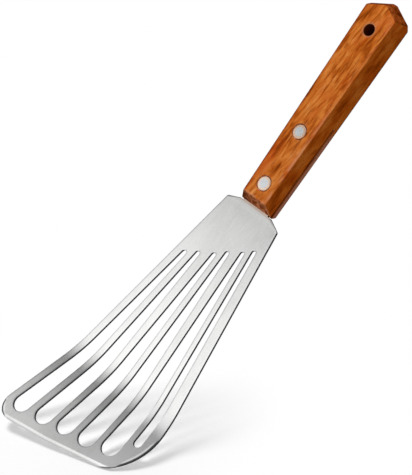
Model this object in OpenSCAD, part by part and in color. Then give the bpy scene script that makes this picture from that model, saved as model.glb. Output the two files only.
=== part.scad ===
// Fish spatula: a slotted, upturned stainless blade on a riveted wooden handle.
// It hangs upright: the hanging hole is at the origin, the handle rises along +Z,
// the blade hangs down and its hollow, upturned face looks along -Y.

/* [Handle] */
// Distance from the hanging hole down to the handle's front end
handle_front = 107.1; // [90:0.1:140]
// Distance from the hanging hole up to the tip of the gable end
handle_top = 18.8; // [16:0.1:26]
// Width across the ridge at the front end
handle_front_w = 22.9; // [20.5:0.1:27]
// Width across the ridge at the gable corners
handle_back_w = 27.6; // [23:0.1:32]
// Height of the gable above its corners
gable_rise = 6.4; // [3:0.1:9]
// Thickness between the two flat faces
handle_t = 14.5; // [12:0.1:20]
// How far the flat faces stand in from the ridge on the sides and the gable
side_bevel = 3.1; // [1:0.1:4]
// How far the upper face stands in from the ridge at the front end
front_bevel = 4.2; // [1:0.1:5]
// How far the back face stands in from the ridge at the front end
back_bevel = 1.2; // [0.5:0.1:4]
// Radius that rounds the point of the gable
gable_r = 5; // [1:0.1:8]

/* [Hanging hole] */
// Radius of the hanging hole
hang_r = 3.1; // [2.5:0.05:4]
// Width of the chamfer at both mouths of the hanging hole
hang_chamfer = 0.4; // [0.2:0.05:0.8]

/* [Saw cut and tang] */
// How far the tang runs past the rear rivet
tang_past_rivet = 10.2; // [4:0.1:16]
// Width of the tang inside the saw cut
tang_w = 18; // [15:0.1:19]
// Space between the tang's end and the closed end of the saw cut
tang_end_gap = 0.2; // [0.2:0.1:3]
// Clearance between each face of the tang and the wood
kerf_fit = 0.03; // [0.01:0.01:0.1]
// Radius of the tang's two end corners
tang_corner_r = 2; // [0.5:0.1:4]

/* [Rivets] */
// Distance from the handle's front end to the front rivet
front_rivet_in = 13; // [9:0.1:16]
// Distance between the two rivets
rivet_pitch = 31.8; // [24:0.1:36]
// Radius of the rivet heads
head_r = 3.75; // [3:0.05:4.5]
// Thickness of the rivet heads
head_t = 1.6; // [1:0.1:2.5]
// Width of the polished slope round each head
head_rim = 1.05; // [0.4:0.05:1.5]
// Drop of the polished slope at the edge of each head
head_rim_drop = 0.25; // [0.1:0.05:0.5]
// Radius of the male rivet's pin
pin_r = 1.5; // [1:0.05:1.8]
// Wall of the female rivet's sleeve
sleeve_wall = 0.8; // [0.5:0.05:1.2]
// Space round each head in its recess
head_gap = 0.45; // [0.1:0.05:0.8]
// Clearance between a pin or a sleeve and its hole
rivet_fit = 0.03; // [0.01:0.01:0.1]
// Space between the end of a sleeve and the opposite head
sleeve_end_gap = 0.5; // [0.2:0.1:2]
// Space between the end of a pin and the bottom of its sleeve
pin_end_gap = 0.4; // [0.2:0.1:1]

/* [Blade sheet] */
// Thickness of the steel
blade_t = 1.5; // [1:0.05:2]
// Length of flat neck between the handle's front end and the neck bend
neck_len = 2.9; // [1:0.1:8]
// Angle of the neck bend, towards the upturned face
neck_angle = 4.35; // [1:0.05:10]
// Inside radius of the neck bend
neck_bend_r = 12; // [6:0.5:20]
// Distance from the neck bend to the start of the tip's curve
tip_start = 101.4; // [95:0.1:110]
// Angle through which the tip curves up
tip_angle = 15.5; // [5:0.1:25]
// Radius of the tip's curve, at the middle of the sheet
tip_r = 66; // [40:1:90]
// Slant of both bends across the blade
bend_slant = 2.1; // [0:0.1:5]
// Width of the ground band along the front edge
grind_w = 1.8; // [1:0.1:3]
// Thickness that is left at the front edge
edge_t = 0.6; // [0.3:0.05:1]

/* [Blade outline] */
// Half width of the neck where it leaves the handle
neck_half_w = 11.3; // [10:0.1:14]
// Left shoulder: across, and below the neck bend
left_shoulder = [-19.2, -0.1];
// Right shoulder: across, and below the neck bend
right_shoulder = [19.3, 0.8];
// Radius of the two shoulders
shoulder_r = 1.6; // [0.5:0.1:4]
// Radius of the neck's two upper corners
neck_corner_r = 0.6; // [0.2:0.1:1.1]
// Left front corner: across, and below the neck bend
left_corner = [-47.6, 162.2];
// Radius of the left front corner
left_corner_r = 9; // [4:0.5:14]
// Crown of the front edge: across, and below the neck bend
front_crown = [-10, 156.2];
// Radius of the front edge's crown
front_crown_r = 80; // [40:1:120]
// Right end of the front edge: across, and below the neck bend
front_right = [27.8, 148.1];
// Radius of the right end of the front edge
front_right_r = 15.5; // [4:0.5:18]
// Right front corner: across, and below the neck bend
right_corner = [41.6, 132.9];
// Radius of the right front corner
right_corner_r = 30; // [10:0.5:31.5]

/* [Slots] */
// Upper ends of the six slots, across the blade
slot_top_x = [-19.4, -12.4, -3.8, 2.2, 9.85, 15.1];
// Upper ends of the six slots, below the neck bend
slot_top_s = [36, 32.2, 27.9, 23.4, 19, 15];
// Widths of the six slots at their upper ends
slot_top_w = [2.9, 2.7, 2.75, 2.6, 2.5, 2.6];
// Lower ends of the six slots, across the blade
slot_end_x = [-36.7, -21.3, -7, 7.9, 22.1, 31.9];
// Lower ends of the six slots, below the neck bend
slot_end_s = [154, 151.7, 148.7, 146.4, 142.4, 129.8];
// Widths of the six slots at their lower ends
slot_end_w = [10.7, 11.1, 10.9, 11.4, 11.5, 5.2];
// Roundness of the slots' lower corners, as a share of half the width
slot_round = 0.95; // [0.5:0.01:0.96]

/* [Hidden] */
$fn = 96;
// Size of the blocks that cut whole sides away, and how far a cut reaches past a face
wide = 400;
over = 1;
half_t = handle_t / 2;
gable_corner_z = handle_top - gable_rise;
kerf_w = blade_t + 2 * kerf_fit;
front_rivet_z = front_rivet_in - handle_front;
rear_rivet_z = front_rivet_z + rivet_pitch;
tang_top = rear_rivet_z + tang_past_rivet;
kerf_depth = tang_top + tang_end_gap + handle_front;
neck_z = -handle_front - neck_len;
sleeve_r = pin_r + rivet_fit + sleeve_wall;
pin_hole_r = pin_r + rivet_fit;
sleeve_hole_r = sleeve_r + rivet_fit;
recess_r = head_r + head_gap;
seat_y = half_t - head_t;
sleeve_end_y = -seat_y + sleeve_end_gap;
neck_mid_r = neck_bend_r + blade_t / 2;
neck_run = neck_mid_r * tan(neck_angle / 2);
// The blade's outline is cut from this far behind its flat part to twice as far in front
cut_depth = 30;
tang_rise = (tang_top - neck_z) * cos(neck_angle);
tip_run = tip_start + tip_r * sin(tip_angle);
tip_lift = tip_r * (1 - cos(tip_angle));
arc_steps = 10;
neck_steps = 3;

// Points of a polygon whose corners [x, y, radius] are rounded off with arcs
function turn(a, b, c) = let (u = a - b, v = c - b, n = norm(u) * norm(v))
    acos(max(-1, min(1, u * v / n)));
function way(a, b) = (b - a) / norm(b - a);
function flat2(p) = [p[0], p[1]];
function corner_arc(a, b, c, r) =
    let (inner = turn(a, b, c) / 2,
         run = r / tan(inner),
         mid = way(b, b + way(b, a) + way(b, c)),
         centre = b + mid * r / sin(inner),
         from = b + way(b, a) * run - centre,
         to = b + way(b, c) * run - centre,
         sweep = 180 - 2 * inner,
         side = sign(from[0] * to[1] - from[1] * to[0]))
    [for (i = [0 : arc_steps])
        let (t = side * sweep * i / arc_steps)
        centre + [from[0] * cos(t) - from[1] * sin(t), from[0] * sin(t) + from[1] * cos(t)]];
function rounded(p) = let (n = len(p))
    [for (i = [0 : n - 1])
        each corner_arc(flat2(p[(i + n - 1) % n]), flat2(p[i]), flat2(p[(i + 1) % n]), p[i][2])];

// Stations [down, out, heading] along the middle of the bent sheet, seen from its side
function run_on(stations, distance) = let (last = stations[len(stations) - 1])
    concat(stations, [last + [distance * cos(last[2]), distance * sin(last[2]), 0]]);
function bend_on(stations, r, angle, steps) =
    let (last = stations[len(stations) - 1], h = last[2])
    concat(stations, [for (i = [1 : steps])
        let (a = angle * i / steps)
        last + [r * (sin(h + a) - sin(h)), r * (cos(h) - cos(h + a)), a]]);
function beside(station, d) =
    [station[0] - d * sin(station[2]), station[1] + d * cos(station[2])];
function side_band(stations) = let (n = len(stations))
    concat([for (i = [0 : n - 1]) beside(stations[i], -blade_t / 2)],
           [for (i = [n - 1 : -1 : 0]) beside(stations[i], blade_t / 2)]);
neck_stations = bend_on([[-wide / 4, 0, 0], [-neck_run, 0, 0]], neck_mid_r, neck_angle, neck_steps);
tip_stations = bend_on(run_on(neck_stations, tip_start - neck_run), tip_r, tip_angle, arc_steps);
sheet_stations = run_on(tip_stations, wide / 4);

// Where a point of the outline lies in the plane of the upturned tip
function spun(p, a) = [p[0] * cos(a) - p[1] * sin(a), p[0] * sin(a) + p[1] * cos(a)];
function on_tip(p) = let (d = spun(p, -bend_slant)) [d[0], (d[1] - tip_run) / cos(tip_angle)];

// Outline of the handle at its ridge, seen from the front
handle_outline = [
    [-handle_front_w / 2, -handle_front],
    [handle_front_w / 2, -handle_front],
    [handle_back_w / 2, gable_corner_z],
    [0, handle_top],
    [-handle_back_w / 2, gable_corner_z]
];

// Turns a drawing in X and Z into a block that reaches from y0 to y1
module across_y(y0, y1)
{
    translate([0, y1, 0])
        rotate([90, 0, 0])
            linear_extrude(height = y1 - y0) children();
}

// A round rod along Y, from y0 to y1, at a height z
module rod_y(r, y0, y1, z)
{
    translate([0, y1, z])
        rotate([90, 0, 0])
            cylinder(r = r, h = y1 - y0);
}

// Takes away all that lies outside a plane that leans in from a ridge edge
module lean_cut(a, b, inset, side)
{
    along = way(a, b);
    heading = atan2(along[1], along[0]);
    lean = atan(inset / half_t);
    translate([a[0], 0, a[1]])
        rotate([0, -heading, 0])
            rotate([side * lean, 0, 0])
                translate([-wide / 2, -wide / 2, -wide])
                    cube([wide, wide, wide]);
}

// The bevelled wooden block before it is cut and drilled
module handle_block()
{
    n = len(handle_outline);
    difference()
    {
        across_y(-half_t, half_t) polygon(handle_outline);
        for (i = [0 : n - 1], side = [-1, 1])
        {
            end_inset = side < 0 ? front_bevel : back_bevel;
            lean_cut(handle_outline[i], handle_outline[(i + 1) % n],
                     i == 0 ? end_inset : side_bevel, side);
        }
        for (side = [-1, 1]) gable_rounding(side);
    }
}

// What rounds the edge between the gable's two bevels, on one side of the ridge
module gable_rounding(side)
{
    half_angle = atan(handle_back_w / 2 / gable_rise);
    lean = atan(side_bevel / half_t);
    edge_fall = atan(tan(lean) / sin(half_angle));
    wedge = norm([sin(lean), sin(half_angle) * cos(lean)]);
    intersection()
    {
        translate([-wide / 2, side < 0 ? -wide : 0, 0])
            cube([wide, wide, wide]);
        translate([0, 0, handle_top])
            rotate([-side * edge_fall, 0, 0])
                difference()
                {
                    translate([-handle_back_w / 2, -handle_t, gable_r * (wedge - 1 / wedge)])
                        cube([handle_back_w, 2 * handle_t, 2 * gable_r]);
                    rod_y(gable_r, -2 * handle_t, 2 * handle_t, -gable_r / wedge);
                }
    }
}

// Through hole with a chamfer at both mouths
module hang_hole()
{
    rod_y(hang_r, -half_t - over, half_t + over, 0);
    for (side = [-1, 1])
        rotate([side * 90, 0, 0])
            translate([0, 0, half_t - hang_chamfer])
                cylinder(r1 = hang_r, r2 = hang_r + 2 * hang_chamfer, h = 2 * hang_chamfer);
}

// Bores and recesses for one pair of rivet halves
module rivet_bores(z)
{
    rod_y(sleeve_hole_r, -half_t - over, half_t + over, z);
    rod_y(recess_r, -half_t - over, -seat_y, z);
    rod_y(recess_r, seat_y, half_t + over, z);
}

// Head of a rivet, seated at seat_y and facing +Y, with its sloping rim
module rivet_head(z)
{
    translate([0, 0, z])
        rotate([-90, 0, 0])
            rotate_extrude()
                polygon([[0, seat_y], [head_r, seat_y], [head_r, half_t - head_rim_drop],
                         [head_r - head_rim, half_t], [0, half_t]]);
}

module rivet_male(z)
{
    color("gainsboro")
        union()
        {
            mirror([0, 1, 0]) rivet_head(z);
            rod_y(pin_r, -seat_y - head_t / 2, seat_y - pin_end_gap, z);
        }
}

module rivet_female(z)
{
    color("silver")
        difference()
        {
            union()
            {
                rivet_head(z);
                rod_y(sleeve_r, sleeve_end_y, seat_y + head_t / 2, z);
            }
            rod_y(pin_hole_r, sleeve_end_y - over, seat_y, z);
        }
}

module front_rivet_male()
{
    rivet_male(front_rivet_z);
}

module front_rivet_female()
{
    rivet_female(front_rivet_z);
}

module rear_rivet_male()
{
    rivet_male(rear_rivet_z);
}

module rear_rivet_female()
{
    rivet_female(rear_rivet_z);
}

module handle()
{
    color("peru")
        difference()
        {
            handle_block();
            translate([-wide / 2, -kerf_w / 2, -handle_front - over])
                cube([wide, kerf_w, kerf_depth + over]);
            hang_hole();
            rivet_bores(front_rivet_z);
            rivet_bores(rear_rivet_z);
        }
}

// Places a shape from the blade's flat part: X across, Y up the blade, Z out of its upturned face
module in_blade(lean)
{
    translate([0, 0, neck_z])
        rotate([90 - lean, 0, 0])
            children();
}

// Places a shape from the plane of the upturned tip, laid out in the same way
module in_tip()
{
    in_blade(0)
        rotate([0, 0, -bend_slant])
            rotate([-neck_angle, 0, 0])
                translate([0, -tip_run, tip_lift])
                    rotate([-tip_angle, 0, 0])
                        children();
}

// Steel sheet with its neck bend and its curved tip, not yet cut to its outline
module bent_sheet()
{
    in_blade(0)
        rotate([0, 0, -bend_slant])
            rotate([90, 0, -90])
                linear_extrude(height = wide, center = true)
                    polygon(side_band(sheet_stations));
}

// Outline of the tang, the neck and the blade, seen square to the blade's flat part
module blade_outline()
{
    mirror([0, 1]) polygon(rounded([
        [-tang_w / 2, -tang_rise, tang_corner_r],
        [-tang_w / 2, -neck_len, neck_corner_r],
        [-neck_half_w, -neck_len, neck_corner_r],
        concat(left_shoulder, shoulder_r),
        concat(left_corner, left_corner_r),
        concat(front_crown, front_crown_r),
        concat(front_right, front_right_r),
        concat(right_corner, right_corner_r),
        concat(right_shoulder, shoulder_r),
        [neck_half_w, -neck_len, neck_corner_r],
        [tang_w / 2, -neck_len, neck_corner_r],
        [tang_w / 2, -tang_rise, tang_corner_r]
    ]));
}

// One tapered slot with rounded ends, square to its own centre line
module slot(i)
{
    top = [slot_top_x[i], slot_top_s[i]];
    end = [slot_end_x[i], slot_end_s[i]];
    along = way(top, end);
    across = [along[1], -along[0]];
    top_half = slot_top_w[i] / 2;
    end_half = slot_end_w[i] / 2;
    top_r = top_half * slot_round;
    end_r = end_half * slot_round;
    mirror([0, 1]) polygon(rounded([
        concat(top - across * top_half, top_r),
        concat(end - across * end_half, end_r),
        concat(end + across * end_half, end_r),
        concat(top + across * top_half, top_r)
    ]));
}

// Takes the ground band off the upturned face along one straight run of the front edge
module grind(a, b)
{
    start = on_tip(a);
    run = on_tip(b) - start;
    slope = atan((blade_t - edge_t) / grind_w);
    in_tip()
        translate([start[0], -start[1], 0])
            rotate([0, 0, -atan2(run[1], run[0])])
                translate([0, grind_w, blade_t / 2])
                    rotate([slope, 0, 0])
                        translate([-wide / 2, -wide, 0])
                            cube([wide, wide, wide]);
}

module blade()
{
    color("silver")
        difference()
        {
            intersection()
            {
                bent_sheet();
                in_blade(neck_angle)
                    translate([0, 0, -cut_depth])
                        linear_extrude(height = 3 * cut_depth)
                            difference()
                            {
                                blade_outline();
                                for (i = [0 : len(slot_top_x) - 1]) slot(i);
                            }
            }
            grind(left_corner, front_crown);
            grind(front_crown, front_right);
            for (z = [front_rivet_z, rear_rivet_z])
                rod_y(sleeve_hole_r, -blade_t, blade_t, z);
        }
}

blade();
handle();
front_rivet_male();
front_rivet_female();
rear_rivet_male();
rear_rivet_female();
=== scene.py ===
# Fish spatula: steel blade, wooden handle and rivets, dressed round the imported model.
# Metres, in the model's own frame: +Z up the handle, -Y out of the upturned face.
import math

import bpy
from mathutils import Matrix, Vector


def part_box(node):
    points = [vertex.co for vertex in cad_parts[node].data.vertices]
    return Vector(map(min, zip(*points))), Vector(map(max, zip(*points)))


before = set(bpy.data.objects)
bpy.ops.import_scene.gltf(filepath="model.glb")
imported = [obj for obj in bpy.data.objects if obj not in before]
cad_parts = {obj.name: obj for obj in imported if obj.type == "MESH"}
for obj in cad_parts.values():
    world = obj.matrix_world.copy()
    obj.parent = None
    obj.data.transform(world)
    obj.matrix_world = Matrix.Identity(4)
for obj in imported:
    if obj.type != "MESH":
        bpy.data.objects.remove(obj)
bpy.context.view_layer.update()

MM = 0.001

# The photograph's height in pixels, which the focal length is measured against
PHOTO_H = 475

# Camera: where it looks, from which side, and how it is turned about its own axis
VIEW_AZIMUTH = 35.34
VIEW_ELEVATION = 3.60
VIEW_ROLL = 34.40
VIEW_DISTANCE = 1350.4 * MM
VIEW_CENTRE = Vector((-5.65, -14.27, -133.31)) * MM
FOCAL_PIXELS = 2658.5
SENSOR_MM = 36.0

# Light: what the world gives to matt surfaces, and the lamp's direction, distance, size and watts
FILL_LEVEL = 0.33
KEY_TOWARD = Vector((-0.70, -0.56, 0.58))
KEY_DISTANCE = 1.2
KEY_SIZE = 0.48
KEY_WATTS = 13.5

# Floor: how far the camera looks down on it, how it falls to the left, the blade's height
# over it, its reach, and its light, shade and bounce
FLOOR_PITCH = 35.0
FLOOR_FALL = 7.0
FLOOR_GAP = 0.15 * MM
FLOOR_REACH = 0.6
FLOOR_GLOW = 0.33
FLOOR_SHADE = 0.64
FLOOR_BOUNCE = 0.30

# Line under the front edge, across and up, in millimetres, and how far from it the floor
# turns plain white
SHADOW_LINE = ((-44, -264), (26, -249))
SHADOW_FADE = (0, 76)

# Curved card that the steel mirrors: its radius, its span round the part in degrees from -Y,
# its reach up and down, its strength, and how bright it is at each height
CARD_RADIUS = 0.5
CARD_SPAN = (-110, 70)
CARD_STEPS = 24
CARD_REACH = 0.5
CARD_POWER = 1.2
CARD_LEVELS = ((-0.50, 0.90), (-0.43, 0.92), (-0.35, 0.92), (-0.30, 1.02), (-0.22, 1.18),
               (-0.18, 1.14), (-0.15, 1.05), (-0.125, 1.01), (-0.104, 0.95), (-0.088, 0.84),
               (-0.072, 0.69), (-0.055, 0.42), (-0.040, 0.22), (-0.015, 0.12), (0.05, 0.11),
               (0.12, 0.22), (0.25, 0.45), (0.50, 0.80))

# Where the object's pieces lie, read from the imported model, and the hanging hole's radius, the
# height of the bend at the neck and the angle of that bend
HANDLE_LOW, HANDLE_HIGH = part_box("handle")
BLADE_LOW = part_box("blade")[0]
RIVETS = {place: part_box(place + "_rivet_male") for place in ("front", "rear")}
HANG_RADIUS = 3.1 * MM
NECK_BEND = -110 * MM
NECK_ANGLE = math.radians(4.35)

# Slots and edges of the blade as lines, across it and down from the neck bend, in millimetres,
# with the slots' half widths at both ends
SLOTS = (((-19.4, 36.0), (-36.7, 154.0), 1.45, 5.35), ((-12.4, 32.2), (-21.3, 151.7), 1.35, 5.55),
         ((-3.8, 27.9), (-7.0, 148.7), 1.38, 5.45), ((2.2, 23.4), (7.9, 146.4), 1.30, 5.70),
         ((9.85, 19.0), (22.1, 142.4), 1.25, 5.75), ((15.1, 15.0), (31.9, 129.8), 1.30, 2.60))
LEFT_EDGE = ((-19.2, -0.1), (-47.6, 162.2))
LEFT_SHOULDER = ((-11.3, -3.5), (-19.2, -0.1))
RIGHT_EDGE = ((19.3, 0.8), (39.2, 118.4))
RIGHT_SHOULDER = ((11.3, -2.9), (19.3, 0.8))
FRONT_EDGE = (((-44.0, 161.6), (-10.0, 156.2)), ((-10.0, 156.2), (24.0, 148.9)))

# The blade's front corners as arcs: middle, radius, the way to the corner, how far out along it
# the arc begins, and the width of the painted dark reflection on the rim; then the painted
# highlight's outer and inner side, counted inward from that dark rim, and how soft that rim and
# the arc's beginning are
CORNERS = (((-36.56, 151.32), 9.0, (-0.71, 0.70), 7.0, 0.85),
           ((19.68, 133.99), 15.5, (0.50, 0.87), 14.8, 0.80),
           ((9.59, 123.53), 30.0, (0.96, 0.28), 26.9, 0.75))
BRIGHT_LINE = (0.9, 1.3)
DARK_RIM_SOFT = 0.15
ARC_SOFT = 0.03

# In millimetres: how far from a slot and from the outline the painted shade and highlight on the
# rolled rims fade, how far either side of its middle a slot's two rims pass into each other,
# between which drops below the neck the blade turns up into its tip and that curve ends, and where
# across it the painted highlight on the tip is strongest
SLOT_RIM = (0.3, 1.0)
SIDE_RIM = (0.4, 1.1)
SLOT_SIDES = (-0.5, 0.5)
TIP_CURVE = (104, 114)
TIP_FLAT = (122, 136)
TIP_HIGHLIGHT_SPAN = (8, 26)

# Heights between which the painted shade on the neck sets in, the painted warm reflection and
# shade of the wood sets in, and the neck's bend is rounded, and how far from that bend the
# rounding ends, in millimetres
NECK_SHADE_HEIGHTS = (NECK_BEND - 1.3 * MM, NECK_BEND + 1.6 * MM)
WOOD_REFLECTION_HEIGHTS = (HANDLE_LOW.z - 1.3 * MM, HANDLE_LOW.z - 0.3 * MM)
BEND_ROUND = (NECK_BEND - 1.5 * MM, NECK_BEND + 1.5 * MM)
BEND_REACH = (1.8, 2.4)

# How far a wall of the sheet may turn towards -Y and +Y, how far a face turns towards -X, +Z
# or +X to be a wall all the same, and how far towards -Y to be the upper face
WALL_FACING = ((0.42, 0.62), (0.60, 0.78), (0.15, 0.45), (0.50, 0.75), (0.40, 0.70))
UPPER_FACING = (0.90, 0.97)

# Steel: shades of the brushed face, tints of painted shade and painted reflection that multiply
# it, and how strong the painted shade on the rolled rims is
STEEL_SHADES = ((0.30, "e0e0df"), (0.52, "f4f4f3"), (0.70, "fefefd"))
# Painted shade on the neck above its bend, then the wood's warm reflection and shade painted just
# before the handle
NECK_SHADE_TINT = "dadad9"
WOOD_REFLECTION_TINT = "f2dacb"
# Painted shade on the curve into the tip
CURVE_SHADE_TINT = "eeeeee"
# Painted shade on the rolled rims: its tint, and its strength above the tip and on it
RIM_SHADE_TINT = "c8c9ca"
RIM_SHADE = 0.75
RIM_SHADE_ON_TIP = 0.6

# Steel: the strength and colour of its painted highlight and painted dark lines, the colours of
# the painted highlight on its tip and of its walls, dark partly from their cut and partly as
# painted shade, and how strong the painted highlights are at the right corners and the right
# shoulder
# Painted highlight on the right-hand rolled rims
RIM_HIGHLIGHT = (0.5, "ffffff")
# Painted dark lines: a dark reflection round the front corners, and shade at the left shoulder and
# along the front edge
CORNER_REFLECTION_LINE = (0.85, "343638")
SHOULDER_SHADE_LINE = (0.7, "505254")
FRONT_SHADE_LINE = (0.45, "8c8e90")
# Painted highlight on the tip's right side
TIP_HIGHLIGHT = "ffffff"
# Walls of the sheet: dark partly because cut steel is darker, partly as painted shade
WALL_CUT_AND_SHADE = "343638"
RIGHT_CORNER_SHINE = 0.5
SHOULDER_SHINE = 0.8

# Noise of each finish: its cells in millimetres across, through and along the part, then its
# detail, roughness and distortion
BRUSHING = ((0.35, 0.9, 9.0), 3, 0.65, 0.0)
SPECKLE = ((0.45, 0.9, 1.1), 2, 0.6, 0.0)
CLOUDS = ((14.0, 30.0, 22.0), 2, 0.5, 0.0)
SWAY = ((30.0, 30.0, 60.0), 1, 0.5, 0.0)
PATCHES = ((5.0, 9.0, 22.0), 2, 0.5, 0.6)
STREAKS = ((1.9, 3.0, 11.0), 2, 0.55, 0.6)
FIBRES = ((0.5, 0.7, 4.0), 2, 0.6, 0.0)
RED_PARTS = ((6.0, 12.0, 26.0), 2, 0.5, 0.4)
SEAMS = ((1.1, 1.8, 9.0), 2, 0.45, 0.0)
FLECKS = ((1.8, 0.8, 0.8), 2, 0.6, 0.0)
PORES = ((0.5, 0.6, 2.6), 1, 0.5, 0.0)
PAINTED_GLINT = ((3.0, 6.0, 8.0), 2, 0.5, 0.0)
BLOTS = ((2.4, 2.4, 6.0), 3, 0.55, 0.5)
TURNING = ((0.3, 2.0, 0.3), 3, 0.6, 0.0)

# Levels of that noise between which reddish parts, seams, flecks, pores and the patches of painted
# highlight on the ridges set in
RED_LEVEL = (0.50, 0.66)
SEAM_LEVEL = (0.57, 0.67)
FLECK_LEVEL = (0.58, 0.72)
PORE_LEVEL = (0.62, 0.74)
PAINTED_GLINT_LEVEL = (0.36, 0.58)

# Handle: half its width at the front, how fast that grows, and its bevels
FRONT_HALF = 11.45 * MM
HANDLE_FLARE = 0.0197
SIDE_BEVEL = 3.1 * MM
FRONT_BEVEL = 4.2 * MM

# Handle: how far a face turns to the side, to both ends, to the front, to the gable and to the
# left before it takes their look, and how far at the steep side and the front corner
SIDE_FACING = (0.20, 0.50)
STEEP_SIDE = (0.5, 0.8)
END_FACING = (0.30, 0.62)
FRONT_FACING = (0.20, 0.45)
STEEP_FRONT = (0.30, 0.60)
GABLE_FACING = (0.15, 0.40)
LEFT_FACING = (0.04, 0.30)

# Handle, in millimetres: how wide the painted highlights on its ridge and front and the painted
# shade on its left margin are, between which heights the ridge's highlight and the strip below the
# saw cut fade, and where on X, Y and Z the front corner, that strip and the far rims begin; then
# how strong the ridge's highlight is along the rest
RIDGE_WIDTH = (0.4, 2.8)
FRONT_WIDTH = (0.3, 1.6)
LEFT_SHADE_WIDTH = (0.1, 1.6)
RIDGE_HEIGHTS = (-75, -35)
STRIP_HEIGHTS = (-62, -50)
CORNER_X = (-9, -4)
STRIP_Y = (0.5, 0.9)
GABLE_RIM_Y = (0.5, 6.3)
SIDE_RIM_Y = (4.8, 6.6)
SIDE_RIM_Z = (-70, -40)
REAR_PAINTED_GLINT = 0.25

# Handle: radii between which the painted highlight round the hanging hole and the hole's bore end,
# and, in millimetres, those of the painted light round a rivet's head
HOLE_HIGHLIGHT_RADII = (HANG_RADIUS + 0.3 * MM, HANG_RADIUS + 1.7 * MM)
BORE_RADII = (HANG_RADIUS + 0.05 * MM, HANG_RADIUS + 0.3 * MM)
HEAD_RADII = (4.2, 4.35)

# Wood: how the grain leans across the handle and how far it sways, then shades along the grain,
# and shades and strength of the end grain and of the painted light on the front facet
GRAIN_LEAN = 0.09
GRAIN_SWAY = 5 * MM
WOOD_SHADES = ((0.36, "863a02"), (0.43, "b2540e"), (0.50, "d07026"), (0.57, "de8438"),
               (0.66, "ea9c58"))
END_SHADES = ((0.36, "5e2006"), (0.50, "9a4414"), (0.64, "bc602a"))
END_STRENGTH = 0.9
# Painted light on the front facet
FACET_LIGHT_SHADES = ((0.40, "b86030"), (0.60, "ffa878"))
FACET_LIGHT_STRENGTH = 0.6

# Wood: the strength and colour of the grain's marks, of the painted highlights and painted shade
# along the borders, of the painted light, shade and sheen on the faces, and of the holes with the
# painted highlight and painted light round them, and the painted shade that multiplies the right
# side
RED_PART = (0.45, "c2480e")
SEAM = (0.55, "7a3004")
FLECK = (0.6, "8a4416")
PORE = (0.3, "5c2405")
# Painted highlight along the handle's ridges
RIDGE_HIGHLIGHT = (0.7, "dc9268")
# Painted shade along the left margin of the top
LEFT_EDGE_SHADE = (0.5, "8a3818")
# Painted shade on the right side: a browner mix and a tint that multiplies it
SIDE_SHADE_MIX = (0.25, "c66a24")
SIDE_SHADE_TINT = (1.16, 0.92, 0.54)
# Painted sheen on the strip below the saw cut
STRIP_SHEEN = (0.45, "c8a494")
# Painted shade on the front's left corner, the far rims and the left wall
CORNER_SHADE = (0.6, "4a180a")
FAR_RIM_SHADE = (0.8, "4e2024")
LEFT_WALL_SHADE = (0.8, "52200a")
# Painted highlight round the hanging hole
HOLE_HIGHLIGHT = (0.5, "bc8460")
BORE = (1.0, "6a2c0c")
# Painted light in the gaps round the rivet heads, where shade falls
HEAD_GAP_LIGHT = (0.8, "f0b48c")

# Rivets: shades of the disc, where the rim begins out from the middle, and the rims' colours,
# which paint their reflection, lighter on the front rivet and darker on the rear one as painted
# light and shade
DISC_SHADES = ((0.36, "d0d6da"), (0.52, "eaeff2"), (0.68, "fcfdfe"))
DISC_EDGE = (0.62, 0.72)
# Painted reflection of the rims, lighter on the front rivet and darker on the rear one as painted
# light and shade
RIM_REFLECTION_COLOURS = {"front": "f8dcc6", "rear": "e2bea4"}

# How deep the brushing, the wood's grain and the discs' turning marks are, and between which
# places on Y the handle's flat top ends
BRUSH_DEPTH = 0.03 * MM
GRAIN_DEPTH = 0.08 * MM
TURNING_DEPTH = 0.02 * MM
TOP_ENDS = (HANDLE_LOW.y + 0.1 * MM, HANDLE_LOW.y + 0.35 * MM)

# Roughness: the steel's, with what its brushing and its walls add; the wood's, with what its
# streaks add, and its oil's; and the discs', with what their turning marks add
STEEL_ROUGH, BRUSHED_ROUGH, WALL_ROUGH = 0.24, 0.12, 0.25
WOOD_ROUGH, STREAK_ROUGH, OIL_ROUGH = 0.42, 0.16, 0.4
DISC_ROUGH, TURNING_ROUGH = 0.34, 0.08

# How much oil lies on the handle's top, and how much of the rivets' rims is matt, so that their
# painted reflection shows evenly
OIL_ON_TOP = 0.10
RIM_MATT_SHARE = 0.6

# Worn edges: their widths, and the sharpest edge in degrees that stays as it is; then how near
# points are joined, and how flat neighbouring faces are that become one
BLADE_EDGE = (0.12 * MM, 20)
HANDLE_EDGE = (0.5 * MM, 50)
RIVET_EDGE = (0.08 * MM, 50)
JOIN_WITHIN = 0.02 * MM
FLAT_WITHIN = math.radians(0.3)


class Sock:
    """A shader socket that adds Math nodes where it is used in an expression."""

    def __init__(self, nodes, socket):
        self.nodes = nodes
        self.socket = socket

    def _math(self, operation, *values):
        return self.nodes.node("ShaderNodeMath", {"operation": operation}, dict(enumerate(values)))

    def __add__(self, other):
        return self._math("ADD", self, other)

    def __radd__(self, other):
        return self._math("ADD", other, self)

    def __sub__(self, other):
        return self._math("SUBTRACT", self, other)

    def __rsub__(self, other):
        return self._math("SUBTRACT", other, self)

    def __mul__(self, other):
        return self._math("MULTIPLY", self, other)

    def __rmul__(self, other):
        return self._math("MULTIPLY", other, self)

    def __truediv__(self, other):
        return self._math("DIVIDE", self, other)

    def root(self):
        return self._math("SQRT", self)

    def size(self):
        return self._math("ABSOLUTE", self)

    def most(self, other):
        return self._math("MAXIMUM", self, other)

    def least(self, other):
        return self._math("MINIMUM", self, other)


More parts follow.
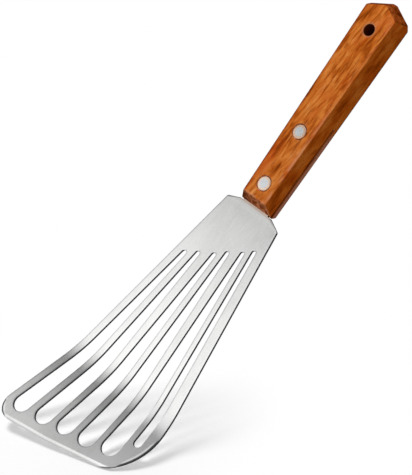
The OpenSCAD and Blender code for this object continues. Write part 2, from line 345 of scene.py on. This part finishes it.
class Nodes:
    """A tree of shader nodes, built from expressions."""

    def __init__(self, tree):
        self.tree = tree

    def node(self, kind, settings, values, out=0):
        """A node of any kind: first its settings, then the values or links of its sockets."""
        made = self.tree.nodes.new(kind)
        for key, setting in settings.items():
            if key == "stops":
                self._ramp(made.color_ramp, setting)
            else:
                setattr(made, key, setting)
        for key, value in values.items():
            self.feed(made.inputs[key], value)
        return Sock(self, made.outputs[out])

    def feed(self, socket, value):
        if isinstance(value, Sock):
            self.tree.links.new(value.socket, socket)
        elif socket.type == "RGBA":
            socket.default_value = (*value, 1.0)
        else:
            socket.default_value = value

    def _ramp(self, ramp, stops):
        while len(ramp.elements) > 1:
            ramp.elements.remove(ramp.elements[-1])
        for i, (place, shade) in enumerate(stops):
            spot = ramp.elements[0] if i == 0 else ramp.elements.new(place)
            spot.position = place
            spot.color = (*shade, 1.0)

    def ramp(self, factor, shades):
        """The colour between the shades around the factor."""
        stops = [(place, colour(code)) for place, code in shades]
        return self.node("ShaderNodeValToRGB", {"stops": stops}, {"Fac": factor}, "Color")

    def smooth(self, value, low, high):
        """0 at low, 1 at high, and a soft step between."""
        return self.node("ShaderNodeMapRange", {"interpolation_type": "SMOOTHSTEP"},
                         {"Value": value, "From Min": low, "From Max": high})

    def fade(self, value, low, high):
        """A soft step between two places in millimetres."""
        return self.smooth(value, low * MM, high * MM)

    def mix(self, factor, a, b, blend="MIX"):
        """Towards b by the factor; b may be a colour code."""
        b = colour(b) if isinstance(b, str) else b
        return self.node("ShaderNodeMix", {"data_type": "RGBA", "blend_type": blend},
                         {0: factor, 6: a, 7: b}, 2)

    def mark(self, mask, base, look):
        """Lays a mark over the base where the mask is, by the mark's own strength and colour."""
        strength, code = look
        return self.mix(mask * strength, base, code)

    def vmath(self, operation, a, b=(0, 0, 0), out="Vector"):
        return self.node("ShaderNodeVectorMath", {"operation": operation}, {0: a, 1: b}, out)

    def length(self, vector):
        return self.vmath("LENGTH", vector, out="Value")

    def vector(self, x, y, z):
        return self.node("ShaderNodeCombineXYZ", {}, {"X": x, "Y": y, "Z": z})

    def parts(self, vector):
        """The vector's three numbers."""
        split = self.node("ShaderNodeSeparateXYZ", {}, {0: vector}).socket.node
        return [Sock(self, output) for output in split.outputs]

    def along(self, place, line):
        """How far along a line its point nearest to place lies, from 0 to 1, and the way from
        that point to place."""
        start, end = Vector((*line[0], 0)) * MM, Vector((*line[1], 0)) * MM
        run = end - start
        from_start = self.vmath("SUBTRACT", place, tuple(start))
        share = self.node("ShaderNodeMath", {"operation": "MULTIPLY", "use_clamp": True},
                          {0: self.vmath("DOT_PRODUCT", from_start, tuple(run), out="Value"),
                           1: 1 / run.length_squared})
        nearest = self.vmath("MULTIPLY", tuple(run), self.vector(share, share, share))
        return share, self.vmath("SUBTRACT", from_start, nearest)


class Material(Nodes):
    """A material of nodes, which are laid over the object by the object's own axes."""

    def __init__(self, name):
        self.material = bpy.data.materials.new(name)
        self.material.use_nodes = True
        super().__init__(self.material.node_tree)
        self.tree.nodes.clear()
        self.output = self.tree.nodes.new("ShaderNodeOutputMaterial")
        self.point = self.node("ShaderNodeTexCoord", {}, {}, "Object")
        self.x, self.y, self.z = self.parts(self.point)

    def facing(self):
        """The surface's own direction on the object, as three numbers."""
        return self.parts(self.node("ShaderNodeTexCoord", {}, {}, "Normal"))

    def noise(self, kind, place=None):
        """Noise of one kind, laid over the object or over a place that is worked out from it."""
        cell, detail, roughness, distortion = kind
        scaled = self.vmath("MULTIPLY", place or self.point, tuple(1 / (c * MM) for c in cell))
        return self.node("ShaderNodeTexNoise", {},
                         {"Vector": scaled, "Scale": 1.0, "Detail": detail,
                          "Roughness": roughness, "Distortion": distortion}, "Fac")

    def bump(self, height, strength, distance, normal=None):
        values = {"Height": height, "Strength": strength, "Distance": distance}
        if normal:
            values["Normal"] = normal
        return self.node("ShaderNodeBump", {}, values)

    def finish(self, shader):
        self.tree.links.new(shader.socket, self.output.inputs["Surface"])
        return self.material

    def surface(self, values):
        return self.finish(self.node("ShaderNodeBsdfPrincipled", {}, values))


def colour(code):
    """Linear values of a colour as it looks on screen, such as 'c87030'."""
    def linear(byte):
        c = byte / 255
        return c / 12.92 if c <= 0.04045 else ((c + 0.055) / 1.055) ** 2.4
    return tuple(linear(int(code[i:i + 2], 16)) for i in (0, 2, 4))


def slot_middle(slot):
    """The line between the centres of a slot's two round ends, and their radii."""
    top, end = Vector(slot[0]), Vector(slot[1])
    run = end - top
    taper = (slot[3] - slot[2]) / run.length
    run.normalize()
    return (top + run * slot[2], end - run * slot[3]), slot[2] * (1 + taper), slot[3] * (1 - taper)


def below_neck(m):
    """How far down the blade a point lies from the neck bend."""
    return (NECK_BEND - m.z) * math.cos(NECK_ANGLE) - m.y * math.sin(NECK_ANGLE)


def rim_of(m, place, line):
    """How strongly a point lies on the rim along a line of the outline."""
    return 1 - m.fade(m.length(m.along(place, line)[1]), *SIDE_RIM)


def rolled_edges(m, place):
    """How strongly a point lies on the rolled rim of a left-hand and of a right-hand edge."""
    left = rim_of(m, place, LEFT_EDGE) + rim_of(m, place, LEFT_SHOULDER)
    right = rim_of(m, place, RIGHT_EDGE)
    for line, half_top, half_end in map(slot_middle, SLOTS):
        share, off = m.along(place, line)
        from_rim = m.length(off) - (half_top + (half_end - half_top) * share) * MM
        rim = 1 - m.fade(from_rim, *SLOT_RIM)
        side = m.fade(m.parts(off)[0], *SLOT_SIDES)
        left = left + rim * side
        right = right + rim * (1 - side)
    return left.least(1.0), right.least(1.0)


def corner_arcs(m, place):
    """A painted dark reflection on the rim round the blade's front corners, and a painted
    highlight inside it, which is weaker on the right."""
    rims, lines = [], []
    for middle, radius, toward, begin, width in CORNERS:
        off = m.vmath("SUBTRACT", place, (middle[0] * MM, middle[1] * MM, 0))
        out = m.length(off) - radius * MM
        sector = m.fade(m.vmath("DOT_PRODUCT", off, (*toward, 0), out="Value"),
                        begin, begin + ARC_SOFT * radius)
        dark = m.fade(out, -(width + DARK_RIM_SOFT), -(width - DARK_RIM_SOFT))
        bright = m.fade(out, -(width + BRIGHT_LINE[1]), -(width + BRIGHT_LINE[0])) * (1 - dark)
        rims.append(dark * sector)
        lines.append(bright * sector)
    bright = lines[0].most(lines[1].most(lines[2]) * RIGHT_CORNER_SHINE)
    return rims[0].most(rims[1]).most(rims[2]), bright


def neck_shade_and_reflection(m, tone):
    """Painted shade that greys the steel above the bend at the neck, and a painted warm reflection
    and shade of the wood right in front of it.
    """
    # Painted shade on the neck, then the wood's warm reflection and shade painted beside the
    # handle
    tone = m.mix(m.smooth(m.z, *NECK_SHADE_HEIGHTS), tone, NECK_SHADE_TINT, "MULTIPLY")
    return m.mix(m.smooth(m.z, *WOOD_REFLECTION_HEIGHTS), tone, WOOD_REFLECTION_TINT, "MULTIPLY")


def rim_tone(m, tone, below, place):
    """Painted shade on the left-hand rolled rims and on all rims of the tip, a painted highlight
    on the right-hand rims above the tip, painted shade on the curve into the tip, and a painted
    highlight on the tip's right side.
    """
    dark_rim, pale_rim = rolled_edges(m, place)
    on_tip = m.fade(below, *TIP_CURVE)
    # Painted highlight on the right-hand rims, then painted shade on the left-hand ones and on the
    # tip's rims
    tone = m.mark(pale_rim * (1 - on_tip), tone, RIM_HIGHLIGHT)
    rolled = (dark_rim * RIM_SHADE).most(pale_rim * on_tip * RIM_SHADE_ON_TIP)
    tone = m.mix(rolled, tone, RIM_SHADE_TINT, "MULTIPLY")
    # Painted shade on the curve into the tip, and a painted highlight across the tip's right side
    on_curve = on_tip * (1 - m.fade(below, *TIP_FLAT))
    tone = m.mix(on_curve, tone, CURVE_SHADE_TINT, "MULTIPLY")
    return m.mix(on_tip * m.fade(m.x, *TIP_HIGHLIGHT_SPAN), tone, TIP_HIGHLIGHT)


def outline_tone(m, tone, place):
    """Painted dark reflection at the front corners, painted shade as dark lines at the left
    shoulder and the front edge, and how strongly a point lies on a painted highlight."""
    # Painted dark reflection round the corners, painted shade at the left shoulder and the front
    # edge
    dark_arc, bright_arc = corner_arcs(m, place)
    tone = m.mark(dark_arc, tone, CORNER_REFLECTION_LINE)
    tone = m.mark(rim_of(m, place, LEFT_SHOULDER), tone, SHOULDER_SHADE_LINE)
    front = rim_of(m, place, FRONT_EDGE[0]).most(rim_of(m, place, FRONT_EDGE[1]))
    tone = m.mark(front, tone, FRONT_SHADE_LINE)
    return tone, bright_arc.most(rim_of(m, place, RIGHT_SHOULDER) * SHOULDER_SHINE)


def punched_walls(m):
    """How strongly a face is one of the sheet's walls, in the slots or along the outline."""
    across, through, up = m.facing()
    near, far, left, top, right = WALL_FACING
    wall = (1 - m.smooth(-1 * through, *near)) * (1 - m.smooth(through, *far))
    wall = wall.most(m.smooth(-1 * across, *left))
    return wall.most(m.smooth(up, *top)).most(m.smooth(across, *right))


def blade_direction(m, wall):
    """The way that the surface looks, with the upper face rounded where it bends at the neck."""
    below = 1 - m.smooth(m.z, *BEND_ROUND)
    outward = m.vmath("NORMALIZE", m.vector(0.0, -1.0, below * math.tan(NECK_ANGLE)))
    bent = m.node("ShaderNodeVectorTransform", {"vector_type": "NORMAL", "convert_from": "OBJECT",
                                                "convert_to": "WORLD"}, {"Vector": outward})
    flat = m.node("ShaderNodeNewGeometry", {}, {}, "True Normal")
    shaded = m.node("ShaderNodeNewGeometry", {}, {}, "Normal")
    upper_face = m.smooth(-1 * m.parts(flat)[1], *UPPER_FACING)
    by_bend = 1 - m.fade((m.z - NECK_BEND).size(), *BEND_REACH)
    return m.mix(by_bend * (1 - wall), shaded, m.mix(upper_face, flat, bent))


def blade_steel():
    """Satin steel brushed along the blade, with painted shade and highlights on its neck, rims,
    corners and tip, and punched walls dark partly from their cut and partly as painted shade.
    """
    m = Material("blade_steel")
    grain = m.noise(BRUSHING) * 0.6 + m.noise(SPECKLE) * 0.4
    below = below_neck(m)
    place = m.vector(m.x, below, 0.0)
    tone = m.ramp(grain * 0.7 + m.noise(CLOUDS) * 0.3, STEEL_SHADES)
    tone = rim_tone(m, neck_shade_and_reflection(m, tone), below, place)
    # Painted dark lines and painted highlights along the outline
    tone, lit = outline_tone(m, tone, place)
    wall = punched_walls(m)
    # Walls darkened partly by their cut and partly by painted shade; the steel turns matt under
    # the painted highlights
    return m.surface({"Base Color": m.mix(wall, tone, WALL_CUT_AND_SHADE), "Metallic": 1 - lit * (1 - wall),
                      "Roughness": STEEL_ROUGH + BRUSHED_ROUGH * grain + WALL_ROUGH * wall,
                      "Normal": m.bump(grain, 0.10, BRUSH_DEPTH, blade_direction(m, wall))})


def wood_tint(m, along):
    """The wood's colour, with soft bands, reddish parts, seams, flecks and pores along the
    grain, then its relief and its streaks."""
    patches, streaks, fibre = (m.noise(kind, along) for kind in (PATCHES, STREAKS, FIBRES))
    tint = m.ramp(patches * 0.46 + streaks * 0.42 + fibre * 0.12, WOOD_SHADES)
    tint = m.mark(m.smooth(m.noise(RED_PARTS), *RED_LEVEL), tint, RED_PART)
    tint = m.mark(m.smooth(m.noise(SEAMS, along), *SEAM_LEVEL), tint, SEAM)
    flecks = m.smooth(m.noise(FLECKS, along), *FLECK_LEVEL)
    tint = m.mark(flecks * patches, tint, FLECK)
    pores = m.smooth(m.noise(PORES, along), *PORE_LEVEL)
    return m.mark(pores, tint, PORE), streaks * 0.3 + fibre * 0.3 - pores * 0.5, streaks


def top_borders(m, tint, top):
    """Painted highlights in patches along the right and front ridges, and painted shade along the
    left margin.
    """
    half = FRONT_HALF + (m.z - HANDLE_LOW.z) * HANDLE_FLARE - SIDE_BEVEL
    glint_patches = m.smooth(m.noise(PAINTED_GLINT), *PAINTED_GLINT_LEVEL)
    front_half = 1 - m.fade(m.z, *RIDGE_HEIGHTS)
    by_ridge = (1 - m.fade(half - m.x, *RIDGE_WIDTH)) * (REAR_PAINTED_GLINT + (1 - REAR_PAINTED_GLINT) * front_half)
    by_front = 1 - m.fade(m.z - HANDLE_LOW.z - FRONT_BEVEL, *FRONT_WIDTH)
    # Painted highlight along the right and front ridges, in patches
    tint = m.mark(by_ridge.most(by_front) * glint_patches * top, tint, RIDGE_HIGHLIGHT)
    # Painted shade along the left margin
    margin = 1 - m.fade(m.x + half, *LEFT_SHADE_WIDTH)
    return m.mark(margin * top, tint, LEFT_EDGE_SHADE)


def side_faces(m, tint, across):
    """The right side browner as painted shade, with the strip below the saw cut paler as painted
    sheen.
    """
    side = m.smooth(across, *SIDE_FACING)
    # Painted shade on the right side
    tint = m.mark(side, tint, SIDE_SHADE_MIX)
    tint = m.mix(side, tint, SIDE_SHADE_TINT, "MULTIPLY")
    below_cut = m.fade(m.y, *STRIP_Y) * (1 - m.fade(m.z, *STRIP_HEIGHTS))
    # Painted sheen on the strip below the saw cut
    return m.mark(m.smooth(across, *STEEP_SIDE) * below_cut, tint, STRIP_SHEEN)


def end_faces(m, tint, across, up):
    """Blotted end grain, painted light on the front facet, and painted shade on its left corner,
    on the far rims by the gable and on the left wall.
    """
    blots = m.noise(BLOTS)
    end_grain = m.smooth(up.size(), *END_FACING)
    tint = m.mix(end_grain * END_STRENGTH, tint, m.ramp(blots, END_SHADES))
    # Painted light on the front facet, and painted shade on its left corner
    front_facet = m.smooth(-1 * up, *FRONT_FACING)
    tint = m.mix(front_facet * FACET_LIGHT_STRENGTH, tint, m.ramp(blots, FACET_LIGHT_SHADES))
    front_left = m.smooth(-1 * up, *STEEP_FRONT) * (1 - m.fade(m.x, *CORNER_X))
    tint = m.mark(front_left, tint, CORNER_SHADE)
    # Painted shade on the far rims and the left wall
    gable_rim = m.smooth(up, *GABLE_FACING) * m.fade(m.y, *GABLE_RIM_Y)
    side_rim = m.smooth(across, *STEEP_SIDE) * m.fade(m.y, *SIDE_RIM_Y) * m.fade(m.z, *SIDE_RIM_Z)
    tint = m.mark(gable_rim.most(side_rim), tint, FAR_RIM_SHADE)
    return m.mark(m.smooth(-1 * across, *LEFT_FACING), tint, LEFT_WALL_SHADE)


def holes(m, tint):
    """A painted highlight round the hanging hole, its dark bore, and painted light in the gaps
    round the rivet heads, where shade falls.
    """
    from_hole = (m.x * m.x + m.z * m.z).root()
    # Painted highlight round the hanging hole
    tint = m.mark(1 - m.smooth(from_hole, *HOLE_HIGHLIGHT_RADII), tint, HOLE_HIGHLIGHT)
    tint = m.mark(1 - m.smooth(from_hole, *BORE_RADII), tint, BORE)
    # Painted light in the gaps round the rivet heads
    for low, high in RIVETS.values():
        up = m.z - (low.z + high.z) / 2
        from_rivet = (m.x * m.x + up * up).root()
        tint = m.mark(1 - m.fade(from_rivet, *HEAD_RADII), tint, HEAD_GAP_LIGHT)
    return tint


def handle_wood():
    """Oiled tropical wood: orange-brown, streaked along the grain, darker on the end grain, with
    painted highlights, light, shade and sheen on its edges and faces.
    """
    m = Material("handle_wood")
    sway = (m.noise(SWAY) - 0.5) * GRAIN_SWAY
    along = m.vector(m.x - m.z * GRAIN_LEAN + sway, m.y + sway * 0.5, m.z)
    tint, height, streaks = wood_tint(m, along)
    across, _, up = m.facing()
    top = 1 - m.smooth(m.y, *TOP_ENDS)
    tint = side_faces(m, top_borders(m, tint, top), across)
    tint = holes(m, end_faces(m, tint, across, up))
    return m.surface({"Base Color": tint, "Roughness": WOOD_ROUGH + STREAK_ROUGH * streaks,
                      "Specular IOR Level": 0.0, "Coat Weight": OIL_ON_TOP * top,
                      "Coat Roughness": OIL_ROUGH, "Normal": m.bump(height, 0.25, GRAIN_DEPTH)})


def rivet_metal(place):
    """A pale disc with fine turning marks, inside a polished rim whose reflection is painted in
    warm white, lighter on the front rivet than on the rear one.
    """
    m = Material(place + "_rivet_metal")
    low, high = RIVETS[place]
    up = m.z - (low.z + high.z) / 2
    out = (m.x * m.x + up * up).root() / ((high.x - low.x) / 2)
    marks = m.noise(TURNING)
    rim = m.smooth(out, *DISC_EDGE)
    # The rim's painted reflection, on a partly matt surface
    return m.surface({"Base Color": m.mix(rim, m.ramp(marks, DISC_SHADES), RIM_REFLECTION_COLOURS[place]),
                      "Metallic": 1 - RIM_MATT_SHARE * rim,
                      "Roughness": DISC_ROUGH + TURNING_ROUGH * marks,
                      "Normal": m.bump(marks, 0.08, TURNING_DEPTH)})


def dress(node, material, edge, segments=3):
    """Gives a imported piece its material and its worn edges, with flat faces kept flat."""
    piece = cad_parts[node]
    piece.data.materials.clear()
    piece.data.materials.append(material)
    for face in piece.data.polygons:
        face.use_smooth = True
    weld = piece.modifiers.new("joined_faces", "WELD")
    weld.merge_threshold = JOIN_WITHIN
    plain = piece.modifiers.new("plain_faces", "DECIMATE")
    plain.decimate_type = "DISSOLVE"
    plain.angle_limit = FLAT_WITHIN
    bevel = piece.modifiers.new("worn_edge", "BEVEL")
    bevel.width = edge[0]
    bevel.segments = segments
    bevel.use_clamp_overlap = False
    bevel.limit_method = "ANGLE"
    bevel.angle_limit = math.radians(edge[1])
    shading = piece.modifiers.new("flat_faces", "WEIGHTED_NORMAL")
    shading.mode = "FACE_AREA_WITH_ANGLE"
    shading.weight = 80


def dress_rivets():
    for place in RIVETS:
        material = rivet_metal(place)
        for half in ("male", "female"):
            dress(f"{place}_rivet_{half}", material, RIVET_EDGE, 2)


def add_object(name, data):
    made = bpy.data.objects.new(name, data)
    bpy.context.scene.collection.objects.link(made)
    return made


def add_camera():
    azimuth, elevation = math.radians(VIEW_AZIMUTH), math.radians(VIEW_ELEVATION)
    back = Vector((math.sin(azimuth) * math.cos(elevation),
                   -math.cos(azimuth) * math.cos(elevation), math.sin(elevation)))
    data = bpy.data.cameras.new("camera")
    data.sensor_width = SENSOR_MM
    data.lens = FOCAL_PIXELS / PHOTO_H * SENSOR_MM
    data.clip_start = 0.01
    camera = add_object("camera", data)
    level = (-back).to_track_quat("-Z", "Y").to_matrix()
    roll = Matrix.Rotation(math.radians(VIEW_ROLL), 3, "Z")
    camera.matrix_world = (Matrix.Translation(VIEW_CENTRE + back * VIEW_DISTANCE)
                           @ (level @ roll).to_4x4())
    bpy.context.scene.camera = camera
    return camera


def add_lamp():
    """The soft round lamp, which the metal doesn't mirror."""
    data = bpy.data.lights.new("key", "AREA")
    data.shape = "DISK"
    data.size = KEY_SIZE
    data.energy = KEY_WATTS
    lamp = add_object("key", data)
    direction = KEY_TOWARD.normalized()
    lamp.location = (BLADE_LOW + HANDLE_HIGH) / 2 + direction * KEY_DISTANCE
    lamp.rotation_euler = direction.to_track_quat("Z", "Y").to_euler()
    lamp.visible_glossy = False


def add_stage(name, corners, faces, material):
    """A sheet for the stage, made as an object of its own."""
    mesh = bpy.data.meshes.new(name)
    mesh.from_pydata(corners, [], faces)
    mesh.materials.append(material)
    sheet = add_object(name, mesh)
    return sheet


def studio_rays(m):
    """1 for the rays that see the background as it is: camera, glossy and transmission."""
    rays = m.node("ShaderNodeLightPath", {}, {}).socket.node
    camera, glossy, clear = (Sock(m, rays.outputs[f"Is {kind} Ray"])
                             for kind in ("Camera", "Glossy", "Transmission"))
    return camera.most(glossy).most(clear)


def white_floor():
    """White to the camera and the metal, with the object's shadow kept near its foot, and
    clear from below."""
    m = Material("white_floor")
    glow = m.node("ShaderNodeEmission", {}, {"Color": (1, 1, 1), "Strength": FLOOR_GLOW})
    shade = m.node("ShaderNodeBsdfDiffuse", {}, {"Color": (FLOOR_SHADE,) * 3})
    near = m.node("ShaderNodeAddShader", {}, {0: glow, 1: shade})
    far = m.node("ShaderNodeEmission", {}, {"Color": (1, 1, 1), "Strength": 1.0})
    away = m.length(m.along(m.vector(m.x, m.z, 0.0), SHADOW_LINE)[1])
    seen = m.node("ShaderNodeMixShader", {}, {0: m.fade(away, *SHADOW_FADE), 1: near, 2: far})
    plain = m.node("ShaderNodeBsdfDiffuse", {}, {"Color": (FLOOR_BOUNCE,) * 3})
    front = m.node("ShaderNodeMixShader", {}, {0: studio_rays(m), 1: plain, 2: seen})
    back = m.node("ShaderNodeNewGeometry", {}, {}, "Backfacing")
    clear = m.node("ShaderNodeBsdfTransparent", {}, {})
    return m.finish(m.node("ShaderNodeMixShader", {}, {0: back, 1: front, 2: clear}))


def add_floor(camera):
    """A floor just under the blade's front edge, which falls to the left of the picture."""
    pitch, fall = math.radians(FLOOR_PITCH), math.radians(FLOOR_FALL)
    right, upright, back = camera.matrix_world.to_3x3().col
    up = upright * math.cos(pitch) + back * math.sin(pitch) - right * math.tan(fall)
    up.normalize()
    blade_points = [vertex.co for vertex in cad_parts["blade"].data.vertices]
    foot = min(blade_points, key=up.dot) - up * FLOOR_GAP
    turn = up.to_track_quat("Z", "Y").to_matrix()
    corners = [foot + turn @ Vector((x, y, 0)) * FLOOR_REACH
               for x, y in ((-1, -1), (1, -1), (1, 1), (-1, 1))]
    add_stage("floor", corners, [(0, 1, 2, 3)], white_floor())


def card_light():
    """The card's light by height: bright before the blade, dark before the handle, and paler
    above."""
    m = Material("card_light")
    height = m.node("ShaderNodeMapRange", {},
                    {"Value": m.z, "From Min": -CARD_REACH, "From Max": CARD_REACH})
    stops = [((z + CARD_REACH) / (2 * CARD_REACH), (level / CARD_POWER,) * 3)
             for z, level in CARD_LEVELS]
    shade = m.node("ShaderNodeValToRGB", {"stops": stops}, {"Fac": height}, "Color")
    return m.finish(m.node("ShaderNodeEmission", {}, {"Color": shade, "Strength": CARD_POWER}))


def add_card():
    """The curved card in front of the part, which only the metal's mirror rays see."""
    first, last = CARD_SPAN
    turns = [math.radians(first + (last - first) * i / CARD_STEPS) for i in range(CARD_STEPS + 1)]
    ends = [(CARD_RADIUS * math.sin(turn), -CARD_RADIUS * math.cos(turn)) for turn in turns]
    corners = [(x, y, z) for x, y in ends for z in (-CARD_REACH, CARD_REACH)]
    faces = [(2 * i, 2 * i + 2, 2 * i + 3, 2 * i + 1) for i in range(CARD_STEPS)]
    card = add_stage("card", corners, faces, card_light())
    for rays in ("camera", "diffuse", "transmission", "shadow", "volume_scatter"):
        setattr(card, "visible_" + rays, False)


def add_world():
    """White where it is seen or mirrored, and dimmer where it lights matt surfaces."""
    world = bpy.data.worlds.new("studio")
    bpy.context.scene.world = world
    world.use_nodes = True
    m = Nodes(world.node_tree)
    background = m.tree.nodes["Background"]
    m.feed(background.inputs["Color"], (1, 1, 1))
    m.feed(background.inputs["Strength"],
           m.node("ShaderNodeMath", {"operation": "MULTIPLY_ADD", "use_clamp": True},
                  {0: studio_rays(m), 1: 1 - FILL_LEVEL, 2: FILL_LEVEL}))


add_floor(add_camera())
add_world()
add_lamp()
add_card()
dress("blade", blade_steel(), BLADE_EDGE)
dress("handle", handle_wood(), HANDLE_EDGE)
dress_rivets()
bpy.context.scene.view_settings.view_transform = "Standard"
